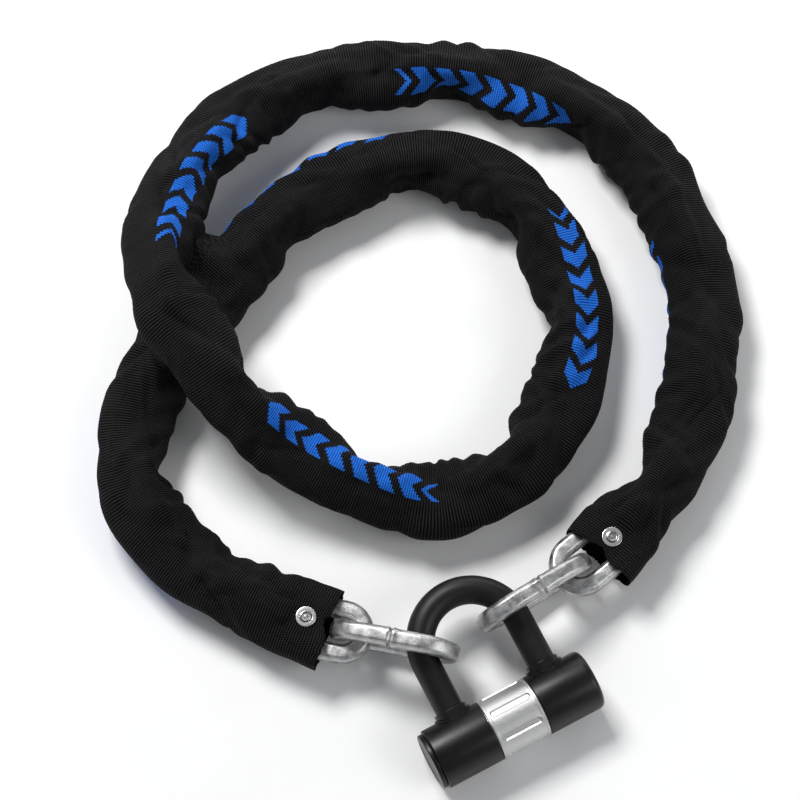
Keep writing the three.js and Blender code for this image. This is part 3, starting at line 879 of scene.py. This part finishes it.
def make_washer(name, place):
    """Washer whose outer face is dished towards its hole."""
    matrix, low, high = upright(name)
    face, base = (high, low) if place == "top" else (low, high)
    sunk = base * 0.6 + face * 0.4
    outline = [
        (base, WASHER_HOLE), (sunk, WASHER_HOLE), (face, WASHER_CREST), (face, WASHER_RADIUS),
        (base, WASHER_RADIUS),
    ]
    outline = rounded(outline, [0, 0, 0.15, 0.3, 0.15])
    return turned("bright_" + name, outline, "washer", matrix, 64)


def make_rivet(name):
    """Hollow rivet: a plain head below and a rolled edge round its bore above."""
    matrix, low, high = upright(name)
    outline = [
        (low, 0), (low, 2.1), (low + 0.5, RIVET_HEAD), (low + RIVET_HEAD_HEIGHT, RIVET_HEAD),
        (low + RIVET_HEAD_HEIGHT, RIVET_RADIUS), (high - RIVET_HEAD_HEIGHT, RIVET_RADIUS),
        (high - RIVET_HEAD_HEIGHT, RIVET_HEAD), (high - 0.35, RIVET_HEAD), (high - 0.08, 2.6),
        (high, 2.35), (high - 0.12, 2.1), (high - 1.0, 1.95), (high - 1.0, 1.35), (high - 0.6, 1.0),
        (high - 0.5, 0),
    ]
    return turned("bright_" + name, outline, "rivet", matrix, 48)


for end in ("left", "right"):
    for place in ("top", "bottom"):
        name = f"washer_{place}_{end}"
        washer = make_washer(name, place)
        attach(washer, "chain")
        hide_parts(name)
    name = f"rivet_{end}"
    rivet = make_rivet(name)
    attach(rivet, "chain")
    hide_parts(name)

# ---- Padlock ---------------------------------------------------------------------

# The lock's own frame: X along the crossbar and Y up the legs, tipped back from the floor.
COLLAR_RIM = 15.7
LOCK = (Matrix.Translation((44.4, -170, COLLAR_RIM))
        @ Matrix.Rotation(math.radians(27.9), 4, "Z") @ Matrix.Rotation(math.radians(8), 4, "X"))
BOW_RADIUS = 25.7
LEG_STRAIGHT = 43.0
LEG_FOOT = 7.6
LEG_STEPS = 24
BOW_STEPS = 72
LIP_TURNS = (0, 0.35, 0.7, 1.05)
CORE_RADIUS = 6.0
CORE_LIP = 0.8
COATING_RADIUS = 7.2
COATING_LIP = 1.0
COATING_FOOT = 14.2
COATING_BORE = (8, 36)
NOTCH_SIZE = (8.9, 9.4, 14)
NOTCH_PLACE = 19.45
COVER_RADIUS = 15.5
COVER_INNER = 13.9
COVER_START = 13.4              # just outside the collar
BODY_END = 42.3                 # where the steel body ends, inside both covers
LEFT_FACE = -43.6
RIGHT_FACE = 44.0
STEM_HOLE = 4.6
LEG_HOLE = 8.8
CAP_STEM = 4.3
CAP_STEM_END = -36
CAP_RADIUS = 14.3
CAP_BASE = -43.9
CAP_RIM = -46.3
CAP_FACE = -46.0
RING_INNER = 7.5
RING_OUTER = 8.5
RING_FOOT = 5
RING_TOP = 18.5
FLANGE_RADIUS = 9.7
FLANGE_HEIGHTS = (8, 18)
FLANGE_GAP = 0.05
FLANGE_THICKNESS = 0.9
BEYOND = 60                     # half the length of a cutter that passes through the whole lock
COLLAR_HALF = 13.0
COLLAR_RADIUS = 15.4
RIM_WIDTH = 1.35
RIM_STEP = 0.35
EDGE_ROUNDING = 0.25
GRIPS = 7
GRIP_HALF_LENGTH = 11.0
GRIP_HALF_WIDTH = 1.8
GRIP_DEPTH = 1.0
GRIP_WALL = 0.75
KEY_WINDOW = 7


def shackle_track(foot):
    """Points and outward directions down one leg, round the bow and up the other."""
    heights = [foot + (LEG_STRAIGHT - foot) * i / LEG_STEPS for i in range(LEG_STEPS)]
    track = [(-BOW_RADIUS, height, -1, 0) for height in heights]
    for i in range(BOW_STEPS + 1):
        angle = math.pi * (1 - i / BOW_STEPS)
        cos, sin = math.cos(angle), math.sin(angle)
        track.append((BOW_RADIUS * cos, LEG_STRAIGHT + BOW_RADIUS * sin, cos, sin))
    track += [(BOW_RADIUS, height, 1, 0) for height in reversed(heights)]
    return track


def swept_rod(name, radius, foot, material, lip):
    """Round rod along the shackle, closed at both ends with rounded lips."""
    track = shackle_track(foot)
    sides = 56

    def lip_ring(end, turn):
        x, y, out_x, out_y = end
        return x, y - lip * math.cos(turn), out_x, out_y, radius - lip * (1 - math.sin(turn))

    rings = [lip_ring(track[0], turn) for turn in LIP_TURNS]
    rings += [(*place, radius) for place in track]
    rings += [lip_ring(track[-1], turn) for turn in reversed(LIP_TURNS)]
    points = []
    for x, y, out_x, out_y, r in rings:
        for j in range(sides):
            a = 2 * math.pi * j / sides
            u, v = r * math.cos(a), r * math.sin(a)
            points.append(LOCK @ Vector((x + out_x * u, y + out_y * u, v)) * MM)
    faces = grid_faces(len(rings), sides)
    faces.append(tuple(range(sides - 1, -1, -1)))
    faces.append(tuple((len(rings) - 1) * sides + j for j in range(sides)))
    made = make_object(name, points, faces, material)
    weld(made)
    return made


def finish_piece(piece, body, node_name):
    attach(piece, body)
    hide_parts(node_name)


def make_coating():
    """Vinyl tube over the shackle, bored at both feet so that they show the steel inside."""
    coating = swept_rod("vinyl_coating", COATING_RADIUS, COATING_FOOT + COATING_LIP, "vinyl", COATING_LIP)
    for x in (-BOW_RADIUS, BOW_RADIUS):
        carve(coating, cylinder("y", CORE_RADIUS + 0.25, *COATING_BORE, (x, 0, 0)), LOCK)
    return coating


def make_core():
    """Steel shackle, with a notch for a bolt on the inner side of each foot."""
    core = swept_rod("steel_shackle", CORE_RADIUS, CORE_LIP - LEG_FOOT, "steel", CORE_LIP)
    for side in (-1, 1):
        carve(core, block(NOTCH_SIZE, (side * NOTCH_PLACE, 0, 0)), LOCK)
    return core


def make_left_cover():
    """Open tube with a thin end wall, which has a hole for the end cap's stem."""
    outline = [
        (-COVER_START, COVER_INNER), (-COVER_START, COVER_RADIUS), (LEFT_FACE, COVER_RADIUS),
        (LEFT_FACE, STEM_HOLE), (-BODY_END, STEM_HOLE), (-BODY_END, COVER_INNER),
    ]
    outline = rounded(outline, [0, 0.5, 0.7, 0.2, 0, 0])
    cover = turned("cover_shell_left", outline, "cover", LOCK, 128)
    carve(cover, cylinder("y", LEG_HOLE, 0, 30, (-BOW_RADIUS, 0, 0)), LOCK)
    return cover


def make_right_cover():
    """Tube with a closed end, whose outer edge is well rounded."""
    outline = [
        (COVER_START, COVER_INNER), (BODY_END, COVER_INNER), (BODY_END, 0), (RIGHT_FACE, 0),
        (RIGHT_FACE, COVER_RADIUS), (COVER_START, COVER_RADIUS),
    ]
    outline = rounded(outline, [0, 0, 0, 0, 3.2, 0.5])
    cover = turned("cover_shell_right", outline, "cover", LOCK, 128)
    carve(cover, cylinder("y", LEG_HOLE, 0, 30, (BOW_RADIUS, 0, 0)), LOCK)
    return cover


def make_end_plug():
    """Cap with a stem, a raised rim and a slightly sunken face."""
    outline = [
        (CAP_STEM_END, 0), (CAP_STEM_END, CAP_STEM), (CAP_BASE, CAP_STEM), (CAP_BASE, CAP_RADIUS),
        (CAP_RIM, CAP_RADIUS), (CAP_RIM, 11.4), (CAP_FACE, 10.8), (CAP_FACE, 0),
    ]
    outline = rounded(outline, [0, 0.3, 0, 0.4, 0.9, 0.3, 0.3, 0])
    return turned("end_plug", outline, "cover", LOCK, 128)


def through_lock(radius):
    """Cutter as long as the whole crossbar and on its axis."""
    return cylinder("x", radius, -BEYOND, BEYOND, segments=160)


def make_ferrule(name, x):
    """Ring round a leg, with a thin flange that follows the cover's curve."""
    about_leg = LOCK @ Matrix.Translation((x, 0, 0)) @ Matrix.Rotation(math.pi / 2, 4, "Z")
    outline = [
        (RING_FOOT, RING_INNER), (RING_TOP, RING_INNER), (RING_TOP, RING_OUTER), (RING_FOOT, RING_OUTER),
    ]
    outline = rounded(outline, [0, 0.25, 0.45, 0])
    ring = turned(name, outline, "cover", about_leg, 96)
    carve(ring, through_lock(COVER_INNER), LOCK)
    low, high = FLANGE_HEIGHTS
    inner = RING_OUTER - 0.15
    outline = [(low, inner), (high, inner), (high, FLANGE_RADIUS), (low, FLANGE_RADIUS)]
    flange = turned(name + "_flange", outline, "cover", about_leg, 96)
    underside = COVER_RADIUS + FLANGE_GAP
    carve(flange, through_lock(underside), LOCK)
    carve(flange, through_lock(underside + FLANGE_THICKNESS), LOCK, "INTERSECT")
    soften(flange, 0.3)
    join(ring, flange)
    return ring


def smooth_step(share):
    """Eases a share from 0 to 1 at both ends."""
    return share * share * (3 - 2 * share)


def collar_radius(xs, turns):
    """Radius of the collar over its length and round it: rims at both ends and finger grooves."""
    from_end = np.abs(xs) - COLLAR_HALF
    rim = smooth_step(np.clip((from_end + RIM_WIDTH) / RIM_STEP, 0, 1))
    edge = np.clip(from_end / EDGE_ROUNDING + 1, 0, 1)
    profile = COLLAR_RADIUS + (COLLAR_RIM - COLLAR_RADIUS) * rim - 0.22 * edge ** 2
    radius = np.repeat(profile[:, None], len(turns), 1)
    # The key window takes the place of the first groove.
    for i in range(1, GRIPS):
        place = math.radians(270 + 360 * i / GRIPS)
        off = (turns - place + math.pi) % (2 * math.pi) - math.pi
        past = np.maximum(np.abs(xs) - (GRIP_HALF_LENGTH - GRIP_HALF_WIDTH), 0)[:, None]
        inside = GRIP_HALF_WIDTH - np.hypot(past, (off * COLLAR_RADIUS)[None])
        lip = 0.10 * np.exp(-((inside + 0.25) / 0.3) ** 2)
        radius = radius - GRIP_DEPTH * smooth_step(np.clip(inside / GRIP_WALL, 0, 1)) + lip
    return radius


def make_collar():
    """Turning collar: raised rims, a finger groove at all places but one, and a key window."""
    columns = 560
    turns = np.arange(columns) * 2 * math.pi / columns
    xs = np.linspace(-COLLAR_HALF, COLLAR_HALF, 105)
    bore = np.full((2, columns), COVER_INNER)
    radius = np.vstack([collar_radius(xs, turns), bore])
    points = []
    for x, row in zip([*xs, COLLAR_HALF, -COLLAR_HALF], radius):
        for r, a in zip(row, turns):
            points.append(LOCK @ Vector((x, r * math.cos(a), r * math.sin(a))) * MM)
    faces = grid_faces(len(radius), columns, close_rows=True)
    made = make_object("grip_collar", points, faces, "collar")
    weld(made)
    carve(made, cylinder("y", KEY_WINDOW, 4, 20), LOCK @ Matrix.Rotation(math.radians(270), 4, "X"))
    shade(made, math.radians(30))
    return made


finish_piece(make_coating(), "shackle", "shackle_coating")
finish_piece(make_core(), "shackle", "shackle")
finish_piece(make_left_cover(), "crossbar", "cover_left")
finish_piece(make_right_cover(), "crossbar", "cover_right")
finish_piece(make_end_plug(), "crossbar", "end_cap")
for side, x in (("left", -BOW_RADIUS), ("right", BOW_RADIUS)):
    finish_piece(make_ferrule("leg_ring_" + side, x), "crossbar", "ferrule_" + side)
finish_piece(make_collar(), "dust_collar", "dust_collar")

# ---- CAD pieces that keep their shape --------------------------------------------

KEPT = {"link_": "zinc", "crossbar_body": "steel", "cam": "steel", "cylinder_housing": "brass",
        "key_plug": "brass", "bolt_": "brass"}
for name, cad in nodes.items():
    for start, material in KEPT.items():
        if name.startswith(start):
            cad.data.materials.clear()
            cad.data.materials.append(MATERIALS[material])

# ---- Floor and light -------------------------------------------------------------

FLOOR_HALF = 1.7


def make_floor():
    material, tree, shader = new_material("floor")
    speckle = noise_at(tree, 30, 3)
    link_input(tree, shader, "Base Color", mix_colour(tree, speckle, grey(0.86), grey(0.9)))
    shader.inputs["Roughness"].default_value = 0.9
    mesh = bpy.data.meshes.new("floor")
    corners = [(x * FLOOR_HALF, y * FLOOR_HALF, 0) for x, y in ((-1, -1), (1, -1), (1, 1), (-1, 1))]
    mesh.from_pydata(corners, [], [(0, 1, 2, 3)])
    floor = bpy.data.objects.new("floor", mesh)
    mesh.materials.append(material)
    scene.collection.objects.link(floor)


def area_light(name, place, size, power, aim=(0, 0, 0)):
    data = bpy.data.lights.new(name, "AREA")
    data.shape = "RECTANGLE"
    data.size, data.size_y = size
    data.energy = power
    light = bpy.data.objects.new(name, data)
    light.location = place
    light.rotation_euler = (Vector(aim) - Vector(place)).to_track_quat("-Z", "Y").to_euler()
    scene.collection.objects.link(light)


def make_world():
    """A dim sky that is bright at and below the horizon, like a studio's white walls."""
    world = bpy.data.worlds.new("studio")
    world.use_nodes = True
    tree = world.node_tree
    way = node(tree, "ShaderNodeTexCoord").outputs["Generated"]
    height = node(tree, "ShaderNodeSeparateXYZ", {0: way}).outputs[2]
    background = tree.nodes["Background"]
    background.inputs["Color"].default_value = (0.95, 0.97, 1.0, 1)
    tree.links.new(ramp(tree, height, 0.06, 0.34, 0.95, 0.26), background.inputs["Strength"])
    scene.world = world


make_floor()
area_light("key", (-0.7, 0.9, 1.5), (0.7, 0.55), 36)
area_light("fill", (1.2, -0.5, 1.1), (0.8, 0.8), 7)
area_light("rim", (0.3, 1.6, 0.5), (1.4, 0.3), 8)
make_world()
scene.view_settings.view_transform = "Standard"
